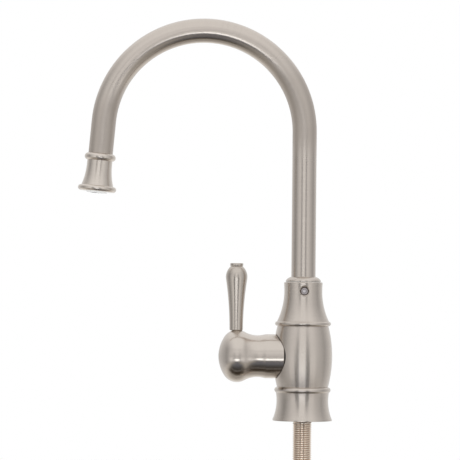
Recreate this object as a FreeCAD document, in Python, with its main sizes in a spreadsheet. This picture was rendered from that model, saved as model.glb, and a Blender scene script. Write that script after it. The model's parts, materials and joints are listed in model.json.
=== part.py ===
import FreeCAD, Part
import math
import operator
import os

import Sketcher

Vector = FreeCAD.Vector

doc = FreeCAD.newDocument("drinking_water_faucet")


# Driving dimensions, in millimetres and degrees.
# Heights are measured from the deck, offsets from the body's vertical axis.
SIZES = {
    # base foot
    "foot_radius": 17.5,
    "foot_edge": 0.6,
    "foot_waist_radius": 15.2,
    "foot_waist_height": 11.8,
    "foot_crown_radius": 15.65,
    "foot_height": 19.6,
    "foot_bead_height": 3.2,
    "foot_bead_rise": 1.05,
    "foot_bead_top_radius": 15.35,
    "gasket_radius": 14.0,
    "gasket_thickness": 3.4,
    # barrel of the valve body
    "barrel_end_radius": 15.05,
    "barrel_rise": 2.3,
    "barrel_height": 35.9,
    "spigot_radius": 10.0,
    "neck_radius": 10.0,
    "neck_height": 13.4,
    "neck_floor": 1.6,
    # top collar
    "collar_height": 25.7,
    "collar_foot_radius": 15.25,
    "collar_bead_height": 2.6,
    "collar_bead_rise": 1.2,
    "collar_bell_radius": 15.35,
    "collar_waist_radius": 11.2,
    "collar_waist_drop": 5.2,
    "collar_rim_radius": 11.4,
    "collar_rim_round": 0.6,
    "collar_headroom": 0.8,
    # set screw in the collar
    "screw_radius": 2.4,
    "screw_countersink": 0.8,
    "screw_recess": 1.1,
    "screw_socket_flats": 2.0,
    "screw_socket_depth": 1.2,
    "screw_chamfer": 0.5,
    "dog_radius": 1.6,
    "dog_play": 0.25,
    # spout
    "tube_radius": 7.15,
    "tube_wall": 1.0,
    "bend_height": 169.5,
    "bend_radius": 59.25,
    "bend_angle": 174.9,
    "tail_length": 19.25,
    "tube_seat": 6.0,
    "outlet_seat": 3.6,
    "spout_plug_radius": 7.9,
    "spout_plug_bore": 4.6,
    "spout_plug_end": 1.0,
    "flange_radius": 10.4,
    "flange_height": 2.7,
    "flange_land": 0.5,
    "flange_top_radius": 7.5,
    "flange_crown": 4.5,
    "swivel_washer_thickness": 0.4,
    "swivel_washer_radius": 10.1,
    "retaining_groove_depth": 1.0,
    "spout_ring_section": 0.9,
    "spout_ring_low": 4.6,
    "spout_ring_high": 9.0,
    # outlet bell and what it holds
    "outlet_length": 22.25,
    "outlet_bead_height": 4.2,
    "outlet_bead_rise": 1.75,
    "outlet_neck_radius": 7.4,
    "outlet_neck_height": 15.8,
    "outlet_flare_radius": 9.45,
    "outlet_lip_height": 3.2,
    "outlet_lip_foot_radius": 10.1,
    "outlet_lip_rise": 1.2,
    "outlet_bore": 5.9,
    "insert_radius": 7.2,
    "insert_height": 5.2,
    "nozzle_radius": 6.4,
    "nozzle_tip_radius": 5.8,
    "nozzle_drop": 0.9,
    "outlet_hole_radius": 3.7,
    "straightener_rib": 0.8,
    "straightener_height": 3.0,
    "outlet_washer_thickness": 1.5,
    "outlet_washer_bore": 4.6,
    # handle hub
    "valve_height": 37.55,
    "lever_offset": 39.3,
    "ball_offset": 38.7,
    "ball_radius": 15.4,
    "ball_nose": 10.9,
    "ball_round": 9.0,
    "hub_neck_radius": 12.25,
    "hub_neck_offset": 26.75,
    "sleeve_radius": 12.95,
    "sleeve_round": 4.0,
    "sleeve_wall": 1.8,
    "sleeve_edge": 0.5,
    "sleeve_gap": 0.6,
    "pocket_offset": 10.4,
    "pocket_play": 1.15,
    "bush_length": 3.4,
    "bush_play": 0.2,
    # lever
    "lever_seat": 15.0,
    "lever_foot_radius": 3.95,
    "lever_chamfer": 0.4,
    "lever_swell_radius": 6.34,
    "lever_swell_height": 31.4,
    "lever_swell_round": 8.4,
    "lever_neck_radius": 3.62,
    "button_radius": 3.85,
    "button_flare": 0.5,
    "button_height": 1.9,
    "button_round": 0.4,
    "stud_radius": 2.5,
    # valve chamber and waterways in the body
    "chamber_radius": 8.0,
    "chamber_back": 8.0,
    "ledge_offset": 5.6,
    "counterbore_radius": 9.05,
    "waterway_radius": 2.4,
    "waterway_offset": 11.4,
    "cross_height": 23.4,
    "outlet_way_radius": 2.0,
    # ceramic cartridge
    "seat_seal_thickness": 2.5,
    "seat_seal_radius": 6.4,
    "seat_seal_bore": 4.9,
    "disc_radius": 6.6,
    "disc_thickness": 3.0,
    "port_inner_radius": 1.5,
    "port_outer_radius": 4.9,
    "port_half_angle": 38.0,
    "sleeve_bore": 6.65,
    "cartridge_radius": 7.9,
    "cartridge_flange_radius": 9.0,
    "cartridge_flange_thickness": 2.0,
    "cartridge_neck_radius": 5.9,
    "cartridge_length": 19.0,
    "window_width": 6.0,
    "window_margin": 0.3,
    "body_ring_section": 0.7,
    "nut_guide_radius": 9.8,
    "nut_guide_length": 4.0,
    "nut_flats": 15.0,
    "nut_hex_length": 3.8,
    "driver_radius": 5.9,
    "driver_thickness": 2.6,
    "driver_play": 0.2,
    "tab_width": 2.4,
    "tab_depth": 1.0,
    "stem_radius": 4.0,
    "stem_length": 43.0,
    "stem_flat_depth": 0.6,
    "stem_ring_section": 0.75,
    "stem_ring_offset": 9.5,
    "stem_ring_step": 3.6,
    "clip_radius": 5.4,
    "clip_thickness": 0.75,
    "clip_groove_depth": 0.7,
    "clip_angle": 310.0,
    "socket_spare": 0.6,
    # shank
    "shank_radius": 5.55,
    "shank_length": 60.0,
    "tenon_radius": 5.0,
    "shank_socket": 14.0,
    "shank_chamfer": 0.8,
    "shank_bore": 2.6,
    "inlet_radius": 3.25,
    "inlet_depth": 15.0,
    "shank_seal_thickness": 1.6,
    # fits
    "running_gap": 0.05,
    "seat_gap": 0.02,
    "ring_gap": 0.03,
    "ring_groove_spare": 0.2,
}

sheet = doc.addObject("Spreadsheet::Sheet", "Sizes")
for row, (alias, number) in enumerate(SIZES.items(), start=1):
    sheet.set(f"A{row}", alias.replace("_", " "))
    sheet.set(f"B{row}", str(number))
    sheet.setAlias(f"B{row}", alias)
doc.recompute()

OPERATIONS = {"+": operator.add, "-": operator.sub, "*": operator.mul, "/": operator.truediv}


class Size:
    """A number together with the sheet expression that gives it."""

    def __init__(self, value, text):
        self.value = float(value)
        self.text = text

    def __add__(self, other):
        return combine(self, "+", other)

    def __radd__(self, other):
        return combine(other, "+", self)

    def __sub__(self, other):
        return combine(self, "-", other)

    def __rsub__(self, other):
        return combine(other, "-", self)

    def __mul__(self, other):
        return combine(self, "*", other)

    def __rmul__(self, other):
        return combine(other, "*", self)

    def __truediv__(self, other):
        return combine(self, "/", other)

    def __neg__(self):
        return combine(0, "-", self)


def as_size(number):
    if isinstance(number, Size):
        return number
    return Size(number, repr(float(number)))


def combine(left, sign, right):
    left = as_size(left)
    right = as_size(right)
    value = OPERATIONS[sign](left.value, right.value)
    return Size(value, f"({left.text} {sign} {right.text})")


def root(size):
    return Size(math.sqrt(size.value), f"sqrt({size.text})")


def sine(degrees):
    degrees = as_size(degrees)
    return Size(math.sin(math.radians(degrees.value)), f"sin({degrees.text})")


def cosine(degrees):
    degrees = as_size(degrees)
    return Size(math.cos(math.radians(degrees.value)), f"cos({degrees.text})")


class Dimensions:
    """The sheet's values, each by its alias."""

    def __getattr__(self, alias):
        return Size(sheet.get(alias), f"Sizes.{alias}")


d = Dimensions()


def bind(thing, name, size):
    thing.setExpression(name, as_size(size).text)


def arc_radius(run, drop):
    """Radius of an arc that starts along `run` and has moved `drop` sideways at its end."""
    return (run * run + drop * drop) / (2 * drop)


def bead_radius(half_height, rise):
    """Radius of an arc over a chord of twice `half_height` that stands `rise` above it."""
    return (half_height * half_height + rise * rise) / (2 * rise)


class Outline:
    """A closed outline of straight runs and arcs, each corner placed by the sheet."""

    def __init__(self, x, y):
        self.corners = [(as_size(x), as_size(y))]
        self.runs = []

    def line(self, x, y):
        self.corners.append((as_size(x), as_size(y)))
        self.runs.append(None)
        return self

    def arc(self, x, y, radius, side):
        """An arc of less than a half turn, its centre to the left (1) or right (-1) of the run."""
        self.corners.append((as_size(x), as_size(y)))
        self.runs.append((as_size(radius), side))
        return self

    def draw(self, sketch):
        """Adds the outline to a sketch and closes it with a straight run."""
        first = sketch.GeometryCount
        points = [Vector(x.value, y.value, 0) for x, y in self.corners]
        runs = self.runs + [None]
        starts = []
        ends = []
        for index, run in enumerate(runs):
            start = points[index]
            end = points[(index + 1) % len(points)]
            if run is None:
                sketch.addGeometry(Part.LineSegment(start, end))
                starts.append(1)
                ends.append(2)
            else:
                sketch.addGeometry(drawn_arc(start, end, run[0].value, run[1]))
                starts.append(1 if run[1] > 0 else 2)
                ends.append(2 if run[1] > 0 else 1)
        for index, run in enumerate(runs):
            after = (index + 1) % len(runs)
            sketch.addConstraint(Sketcher.Constraint(
                "Coincident", first + index, ends[index], first + after, starts[after]))
        for index, (x, y) in enumerate(self.corners):
            place(sketch, "DistanceX", first + index, starts[index], x)
            place(sketch, "DistanceY", first + index, starts[index], y)
        for index, run in enumerate(runs):
            if run is not None:
                number = sketch.addConstraint(
                    Sketcher.Constraint("Radius", first + index, run[0].value))
                bind(sketch, f"Constraints[{number}]", run[0])


def drawn_arc(start, end, radius, side):
    chord = end - start
    middle = (start + end) / 2
    reach = math.sqrt(radius * radius - chord.Length * chord.Length / 4)
    left = Vector(-chord.y, chord.x, 0) / chord.Length
    centre = middle + left * (side * reach)
    first, last = (start, end) if side > 0 else (end, start)
    circle = Part.Circle(centre, Vector(0, 0, 1), radius)
    return Part.ArcOfCircle(circle, angle_about(centre, first), angle_about(centre, last))


def angle_about(centre, point):
    return math.atan2(point.y - centre.y, point.x - centre.x)


def place(sketch, kind, geometry, end, size):
    number = sketch.addConstraint(Sketcher.Constraint(kind, -1, 1, geometry, end, size.value))
    bind(sketch, f"Constraints[{number}]", size)


def draw_circle(sketch, x, y, radius):
    x = as_size(x)
    y = as_size(y)
    radius = as_size(radius)
    circle = Part.Circle(Vector(x.value, y.value, 0), Vector(0, 0, 1), radius.value)
    number = sketch.addGeometry(circle)
    place(sketch, "DistanceX", number, 3, x)
    place(sketch, "DistanceY", number, 3, y)
    rim = sketch.addConstraint(Sketcher.Constraint("Radius", number, radius.value))
    bind(sketch, f"Constraints[{rim}]", radius)


def rectangle(x_low, y_low, x_high, y_high):
    return Outline(x_low, y_low).line(x_high, y_low).line(x_high, y_high).line(x_low, y_high)


def hexagon(flats):
    """A hexagon about the origin, with two corners on the vertical."""
    corner = flats / math.sqrt(3)
    outline = Outline(0, corner)
    for turn in range(1, 6):
        angle = 90 + 60 * turn
        outline.line(corner * cosine(angle), corner * sine(angle))
    return outline


pieces = []

# The three axes that pieces are turned about, as rotations of an upright piece.
UPRIGHT = FreeCAD.Rotation(Vector(0, 0, 1), 0)
OUT_TO_HANDLE = FreeCAD.Rotation(Vector(0, 1, 0), -90)
OUT_TO_FRONT = FreeCAD.Rotation(Vector(1, 0, 0), 90)


def new_body(label, turn=UPRIGHT, x=None, z=None):
    body = doc.addObject("PartDesign::Body", label)
    body.Label = label
    body.Placement = FreeCAD.Placement(Vector(0, 0, 0), turn)
    if x is not None:
        bind(body, "Placement.Base.x", x)
    if z is not None:
        bind(body, "Placement.Base.z", z)
    pieces.append(body)
    return body


def valve_body_piece(label):
    """A body on the handle's axis: its own z runs out to the handle, its x up."""
    return new_body(label, OUT_TO_HANDLE, z=d.valve_height)


def sketch_on(body, role, name, lift=None, shift=None):
    plane = [item for item in body.Origin.OriginFeatures if item.Role == role][0]
    sketch = body.newObject("Sketcher::SketchObject", f"{body.Name}_{name}")
    sketch.AttachmentSupport = (plane, [""])
    sketch.MapMode = "FlatFace"
    if lift is not None:
        bind(sketch, "AttachmentOffset.Base.z", lift)
    if shift is not None:
        bind(sketch, "AttachmentOffset.Base.y", shift)
    return sketch


def turned(body, outline, name="section", sweep=360):
    """Turns a half section, drawn as radius and height, about the body's own axis."""
    sketch = sketch_on(body, "XZ_Plane", name)
    outline.draw(sketch)
    feature = body.newObject("PartDesign::Revolution", f"{body.Name}_{name}_turned")
    feature.Profile = sketch
    feature.ReferenceAxis = (sketch, ["V_Axis"])
    if isinstance(sweep, Size):
        bind(feature, "Angle", sweep)
    else:
        feature.Angle = sweep
    doc.recompute()


def turned_out(body, sketch):
    """Takes a half section away all round the sketch's level axis."""
    groove = body.newObject("PartDesign::Groove", f"{sketch.Name}_groove")
    groove.Profile = sketch
    groove.ReferenceAxis = (sketch, ["H_Axis"])
    groove.Angle = 360
    doc.recompute()


def extruded(body, kind, sketch, length, both_ways=False, reverse=False):
    feature = body.newObject(f"PartDesign::{kind}", f"{sketch.Name}_{kind.lower()}")
    feature.Profile = sketch
    feature.Type = "Length"
    feature.SideType = "Symmetric" if both_ways else "One side"
    feature.Reversed = reverse
    bind(feature, "Length", length)
    doc.recompute()


# Heights and offsets that several pieces share.
barrel_top = d.foot_height + d.barrel_height
neck_top = barrel_top + d.neck_height
socket_floor = barrel_top + d.neck_floor
collar_top = barrel_top + d.collar_height
screw_height = collar_top - d.collar_waist_drop
flange_base = collar_top + d.swivel_washer_thickness
flange_top = flange_base + d.flange_height
tube_start = flange_top - d.tube_seat
spout_bore = d.spout_plug_radius + d.running_gap
spigot_end = d.gasket_thickness
shank_top = spigot_end + d.shank_socket
seal_top = shank_top + d.shank_seal_thickness
sleeve_bore_radius = d.sleeve_radius - d.sleeve_wall
pocket_radius = d.sleeve_radius + d.sleeve_gap
sleeve_end = d.pocket_offset + d.pocket_play
disc_seat = d.seat_seal_thickness - d.chamber_back
turning_disc_seat = disc_seat + d.disc_thickness + d.seat_gap
driver_seat = turning_disc_seat + d.disc_thickness
driver_top = driver_seat + d.driver_thickness
cartridge_shoulder = driver_top + d.driver_play
stem_bore = d.stem_radius + d.running_gap
stem_end = driver_seat + d.stem_length
clip_seat = d.cartridge_length + d.running_gap
hub_floor = clip_seat + d.clip_thickness + d.socket_spare
stem_flat = d.stem_radius - d.stem_flat_depth
groove_floor = d.spout_plug_radius - d.retaining_groove_depth
groove_half = d.dog_radius + d.dog_play


def base_foot():
    """Flared foot with a bead, bored for the body's spigot and recessed for the gasket."""
    waist = d.foot_waist_height
    crown = d.foot_height - d.foot_bead_height
    low_run = waist - d.foot_edge
    low_drop = d.foot_radius - d.foot_waist_radius
    high_run = crown - waist
    high_drop = d.foot_crown_radius - d.foot_waist_radius
    bore = d.spigot_radius + d.seat_gap
    outline = Outline(d.gasket_radius, 0)
    outline.line(d.foot_radius, 0)
    outline.line(d.foot_radius, d.foot_edge)
    outline.arc(d.foot_waist_radius, waist, arc_radius(low_run, low_drop), -1)
    outline.arc(d.foot_crown_radius, crown, arc_radius(high_run, high_drop), -1)
    bead_chord = root(d.foot_bead_height * d.foot_bead_height
                      + (d.foot_crown_radius - d.foot_bead_top_radius)
                      * (d.foot_crown_radius - d.foot_bead_top_radius))
    outline.arc(d.foot_bead_top_radius, d.foot_height, bead_radius(bead_chord / 2, d.foot_bead_rise), 1)
    outline.line(bore, d.foot_height)
    outline.line(bore, d.gasket_thickness)
    outline.line(d.gasket_radius, d.gasket_thickness)
    turned(new_body("base_foot"), outline)


def base_gasket():
    """Flat rubber ring, flush with the foot's underside and held up by the shank's shoulder."""
    inner = d.tenon_radius + d.ring_groove_spare
    outer = d.gasket_radius - d.seat_gap
    turned(new_body("base_gasket"), rectangle(inner, 0, outer, d.gasket_thickness))


def valve_body():
    """Barrel with the shank's socket below, the spout's neck above and the valve chamber across."""
    body = new_body("valve_body")
    socket = d.tenon_radius + d.seat_gap
    way_top = d.cross_height + d.waterway_radius
    outline = Outline(socket, spigot_end)
    outline.line(d.spigot_radius, spigot_end)
    outline.line(d.spigot_radius, d.foot_height)
    outline.line(d.barrel_end_radius, d.foot_height)
    outline.arc(d.barrel_end_radius, barrel_top, bead_radius(d.barrel_height / 2, d.barrel_rise), 1)
    outline.line(d.neck_radius, barrel_top)
    outline.line(d.neck_radius, neck_top)
    outline.line(spout_bore, neck_top)
    outline.line(spout_bore, socket_floor)
    outline.line(0, socket_floor)
    outline.line(0, way_top)
    outline.line(d.waterway_radius, way_top)
    outline.line(d.waterway_radius, seal_top)
    outline.line(socket, seal_top)
    turned(body, outline)

    clear = d.barrel_end_radius + 2 * d.barrel_rise
    chamber = sketch_on(body, "XZ_Plane", "chamber", shift=d.valve_height)
    outline = Outline(-clear, 0)
    outline.line(-clear, pocket_radius)
    outline.line(-d.pocket_offset, pocket_radius)
    outline.line(-d.pocket_offset, d.counterbore_radius)
    outline.line(-d.ledge_offset, d.counterbore_radius)
    outline.line(-d.ledge_offset, d.chamber_radius)
    outline.line(d.chamber_back, d.chamber_radius)
    outline.line(d.chamber_back, d.waterway_radius)
    outline.line(d.waterway_offset, d.waterway_radius)
    outline.line(d.waterway_offset, 0)
    outline.draw(chamber)
    turned_out(body, chamber)

    cross = sketch_on(body, "YZ_Plane", "cross_way")
    draw_circle(cross, 0, d.cross_height, d.waterway_radius)
    extruded(body, "Pocket", cross, d.waterway_offset, reverse=True)
    riser = sketch_on(body, "XY_Plane", "inlet_way", lift=d.cross_height)
    draw_circle(riser, d.waterway_offset, 0, d.waterway_radius)
    extruded(body, "Pocket", riser, d.valve_height - d.cross_height, reverse=True)
    outlet = sketch_on(body, "XY_Plane", "outlet_way", lift=socket_floor)
    draw_circle(outlet, -(driver_seat + driver_top) / 2, 0, d.outlet_way_radius)
    extruded(body, "Pocket", outlet, socket_floor - d.valve_height)


def top_collar():
    """Bell-shaped collar with a bead, screwed on the body's neck, with a countersunk screw hole."""
    body = new_body("top_collar")
    thread_bore = d.neck_radius + d.seat_gap
    bell_foot = barrel_top + d.collar_bead_height
    rim = collar_top - d.collar_rim_round
    bell_run = screw_height - bell_foot
    bell_drop = d.collar_bell_radius - d.collar_waist_radius
    rim_run = rim - screw_height
    rim_drop = d.collar_rim_radius - d.collar_waist_radius
    bead_lean = d.collar_bell_radius - d.collar_foot_radius
    bead_chord = root(d.collar_bead_height * d.collar_bead_height + bead_lean * bead_lean)
    outline = Outline(thread_bore, barrel_top)
    outline.line(d.collar_foot_radius, barrel_top)
    outline.arc(d.collar_bell_radius, bell_foot, bead_radius(bead_chord / 2, d.collar_bead_rise), 1)
    outline.arc(d.collar_waist_radius, screw_height, arc_radius(bell_run, bell_drop), -1)
    outline.arc(d.collar_rim_radius, rim, arc_radius(rim_run, rim_drop), -1)
    outline.arc(d.collar_rim_radius - d.collar_rim_round, collar_top, d.collar_rim_round, 1)
    outline.line(spout_bore, collar_top)
    outline.line(spout_bore, neck_top + d.collar_headroom)
    outline.line(thread_bore, neck_top + d.collar_headroom)
    turned(body, outline)
    hole_radius = d.screw_radius + d.seat_gap
    cone_end = d.collar_waist_radius - d.screw_countersink
    hole = sketch_on(body, "YZ_Plane", "screw_hole", shift=screw_height)
    outline = Outline(-d.collar_bell_radius, 0)
    outline.line(-d.collar_bell_radius, hole_radius + d.collar_bell_radius - cone_end)
    outline.line(-cone_end, hole_radius)
    outline.line(0, hole_radius)
    outline.line(0, 0)
    outline.draw(hole)
    turned_out(body, hole)


def collar_set_screw():
    """Grub screw whose dog point runs in the spout's retaining groove."""
    body = new_body("collar_set_screw", OUT_TO_FRONT, z=screw_height)
    outer = d.collar_waist_radius - d.screw_recess
    shoulder = spout_bore + d.dog_play
    tip = groove_floor + d.dog_play
    outline = Outline(0, tip)
    outline.line(d.dog_radius, tip)
    outline.line(d.dog_radius, shoulder)
    outline.line(d.screw_radius, shoulder)
    outline.line(d.screw_radius, outer - d.screw_chamfer)
    outline.line(d.screw_radius - d.screw_chamfer, outer)
    outline.line(0, outer)
    turned(body, outline)
    socket = sketch_on(body, "XY_Plane", "hex_socket", lift=outer)
    hexagon(d.screw_socket_flats).draw(socket)
    extruded(body, "Pocket", socket, d.screw_socket_depth)


def shank():
    """Stem of the thread's size, with a tenon in the body, a through waterway and an inlet bore."""
    low = -d.shank_length
    edge = d.shank_radius - d.shank_chamfer
    outline = Outline(d.inlet_radius, low)
    outline.line(edge, low)
    outline.line(d.shank_radius, low + d.shank_chamfer)
    outline.line(d.shank_radius, 0)
    outline.line(d.tenon_radius, 0)
    outline.line(d.tenon_radius, shank_top)
    outline.line(d.shank_bore, shank_top)
    outline.line(d.shank_bore, low + d.inlet_depth)
    outline.line(d.inlet_radius, low + d.inlet_depth)
    turned(new_body("shank"), outline)


def shank_seal():
    """Fibre washer between the shank's end and the socket's floor."""
    turned(new_body("shank_seal"), rectangle(d.shank_bore, shank_top, d.tenon_radius, seal_top))


def swivel_washer():
    """Thin washer that the spout's flange turns on."""
    outline = rectangle(spout_bore, collar_top, d.swivel_washer_radius, flange_base)
    turned(new_body("swivel_washer"), outline)


def spout_ring_height(offset):
    return barrel_top + offset


def spout_spigot():
    """Turned fitting: flange, retaining groove, two seal grooves and the tube's socket."""
    low = socket_floor + d.spout_plug_end
    seal_floor = spout_bore - d.ring_gap - 2 * d.spout_ring_section - d.seat_gap
    seal_half = d.spout_ring_section + d.ring_groove_spare
    tube_socket = d.tube_radius + d.seat_gap
    outline = Outline(d.spout_plug_bore, low)
    outline.line(d.spout_plug_radius, low)
    grooves = [
        (spout_ring_height(d.spout_ring_low), seal_half, seal_floor),
        (spout_ring_height(d.spout_ring_high), seal_half, seal_floor),
        (screw_height, groove_half, groove_floor),
    ]
    for middle, half, floor in grooves:
        outline.line(d.spout_plug_radius, middle - half)
        outline.line(floor, middle - half)
        outline.line(floor, middle + half)
        outline.line(d.spout_plug_radius, middle + half)
    outline.line(d.spout_plug_radius, flange_base)
    outline.line(d.flange_radius, flange_base)
    outline.line(d.flange_radius, flange_base + d.flange_land)
    outline.arc(d.flange_top_radius, flange_top, d.flange_crown, 1)
    outline.line(tube_socket, flange_top)
    outline.line(tube_socket, tube_start)
    outline.line(d.spout_plug_bore, tube_start)
    turned(new_body("spout_spigot"), outline)


def seal_ring(name, centre_radius, section, turn, x, z):
    ring = doc.addObject("Part::Torus", name)
    ring.Placement = FreeCAD.Placement(Vector(0, 0, 0), turn)
    bind(ring, "Radius1", centre_radius)
    bind(ring, "Radius2", section)
    bind(ring, "Placement.Base.x", x)
    bind(ring, "Placement.Base.z", z)
    return ring


def ring_set(label, rings):
    group = doc.addObject("Part::Compound", label)
    group.Label = label
    group.Links = rings
    pieces.append(group)


def spout_o_rings():
    """The two seals of the spout's spigot."""
    centre = spout_bore - d.ring_gap - d.spout_ring_section
    rings = []
    for name, offset in (("spout_ring_lower", d.spout_ring_low), ("spout_ring_upper", d.spout_ring_high)):
        rings.append(seal_ring(
            name, centre, d.spout_ring_section, UPRIGHT, as_size(0), spout_ring_height(offset)))
    ring_set("spout_o_rings", rings)


lean = 180 - d.bend_angle
bend_end_x = -d.bend_radius * (1 + cosine(lean))
bend_end_z = d.bend_height + d.bend_radius * sine(lean)
tube_tail = d.tail_length + d.outlet_seat
tube_end_x = bend_end_x - tube_tail * sine(lean)
tube_end_z = bend_end_z - tube_tail * cosine(lean)


def spout_tube():
    """Gooseneck tube: riser, bend and a straight tail that leans outward."""
    body = new_body("spout_tube")
    path = sketch_on(body, "XZ_Plane", "path")
    bend = Vector(-d.bend_radius.value, d.bend_height.value, 0)
    corners = [
        Vector(0, tube_start.value, 0),
        Vector(0, d.bend_height.value, 0),
        Vector(bend_end_x.value, bend_end_z.value, 0),
        Vector(tube_end_x.value, tube_end_z.value, 0),
    ]
    riser = sketch_line(path, corners[0], corners[1])
    circle = Part.Circle(bend, Vector(0, 0, 1), d.bend_radius.value)
    sweep = math.radians(d.bend_angle.value)
    arch = path.addGeometry(Part.ArcOfCircle(circle, 0, sweep))
    tail = sketch_line(path, corners[2], corners[3])
    path.addConstraint(Sketcher.Constraint("Coincident", riser, 2, arch, 1))
    path.addConstraint(Sketcher.Constraint("Coincident", arch, 2, tail, 1))
    place(path, "DistanceX", riser, 1, as_size(0))
    place(path, "DistanceY", riser, 1, tube_start)
    place(path, "DistanceX", arch, 3, -d.bend_radius)
    place(path, "DistanceY", arch, 3, d.bend_height)
    place(path, "DistanceX", arch, 1, as_size(0))
    place(path, "DistanceY", arch, 1, d.bend_height)
    place(path, "DistanceX", arch, 2, bend_end_x)
    place(path, "DistanceX", tail, 2, tube_end_x)
    place(path, "DistanceY", tail, 2, tube_end_z)
    section_pipe(body, path, "AdditivePipe", "outside", d.tube_radius)
    section_pipe(body, path, "SubtractivePipe", "bore", d.tube_radius - d.tube_wall)


def sketch_line(sketch, start, end):
    return sketch.addGeometry(Part.LineSegment(start, end))


def section_pipe(body, path, kind, name, radius):
    section = sketch_on(body, "XY_Plane", name, lift=tube_start)
    draw_circle(section, 0, 0, radius)
    pipe = body.newObject(f"PartDesign::{kind}", f"{body.Name}_{name}_pipe")
    pipe.Profile = section
    pipe.Spine = (path, ["Edge1", "Edge2", "Edge3"])
    doc.recompute()


def outlet_piece(label):
    """A body on the leaning tail's axis, its origin at the middle of the lip's underside."""
    drop = d.tail_length + d.outlet_length
    body = new_body(
        label, FreeCAD.Rotation(Vector(0, 1, 0), lean.value),
        x=bend_end_x - drop * sine(lean), z=bend_end_z - drop * cosine(lean))
    bind(body, "Placement.Rotation.Angle", lean)
    return body


washer_floor = d.insert_height
washer_top = washer_floor + d.outlet_washer_thickness


def outlet_bell():
    """Flared end piece with a bead at its top and a rolled lip."""
    bead_foot = d.outlet_length - d.outlet_bead_height
    flare_run = d.outlet_neck_height - d.outlet_lip_height
    flare_drop = d.outlet_flare_radius - d.outlet_neck_radius
    chamber = d.insert_radius + d.seat_gap
    seat = d.outlet_length - d.outlet_seat
    tube_socket = d.tube_radius + d.seat_gap
    outline = Outline(chamber, 0)
    outline.line(d.outlet_lip_foot_radius, 0)
    outline.arc(d.outlet_lip_foot_radius, d.outlet_lip_height,
                bead_radius(d.outlet_lip_height / 2, d.outlet_lip_rise), 1)
    outline.line(d.outlet_flare_radius, d.outlet_lip_height)
    outline.arc(d.outlet_neck_radius, d.outlet_neck_height, arc_radius(flare_run, flare_drop), -1)
    outline.line(d.outlet_neck_radius, bead_foot)
    outline.arc(d.outlet_neck_radius, d.outlet_length,
                bead_radius(d.outlet_bead_height / 2, d.outlet_bead_rise), 1)
    outline.line(tube_socket, d.outlet_length)
    outline.line(tube_socket, seat)
    outline.line(d.outlet_bore, seat)
    outline.line(d.outlet_bore, washer_top)
    outline.line(chamber, washer_top)
    turned(outlet_piece("outlet_bell"), outline)


def outlet_insert():
    """Moulded insert with a tapered nozzle, a round hole and a cross of straightening ribs."""
    body = outlet_piece("outlet_insert")
    outline = Outline(d.outlet_hole_radius, -d.nozzle_drop)
    outline.line(d.nozzle_tip_radius, -d.nozzle_drop)
    outline.line(d.nozzle_radius, 0)
    outline.line(d.insert_radius, 0)
    outline.line(d.insert_radius, d.insert_height)
    outline.line(d.outlet_hole_radius, d.insert_height)
    turned(body, outline)
    half = d.straightener_rib / 2
    reach = (d.outlet_hole_radius + d.insert_radius) / 2
    for name, wide, deep in (("rib_along", reach, half), ("rib_across", half, reach)):
        rib = sketch_on(body, "XY_Plane", name, lift=d.insert_height)
        rectangle(-wide, -deep, wide, deep).draw(rib)
        extruded(body, "Pad", rib, d.straightener_height, reverse=True)


def outlet_washer():
    """Rubber washer that the insert presses against the bell's inner shoulder."""
    outline = rectangle(d.outlet_washer_bore, washer_floor, d.insert_radius, washer_top)
    turned(outlet_piece("outlet_washer"), outline)


def between(start, end, share):
    return start[0] + share * (end[0] - start[0]), start[1] + share * (end[1] - start[1])


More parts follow.
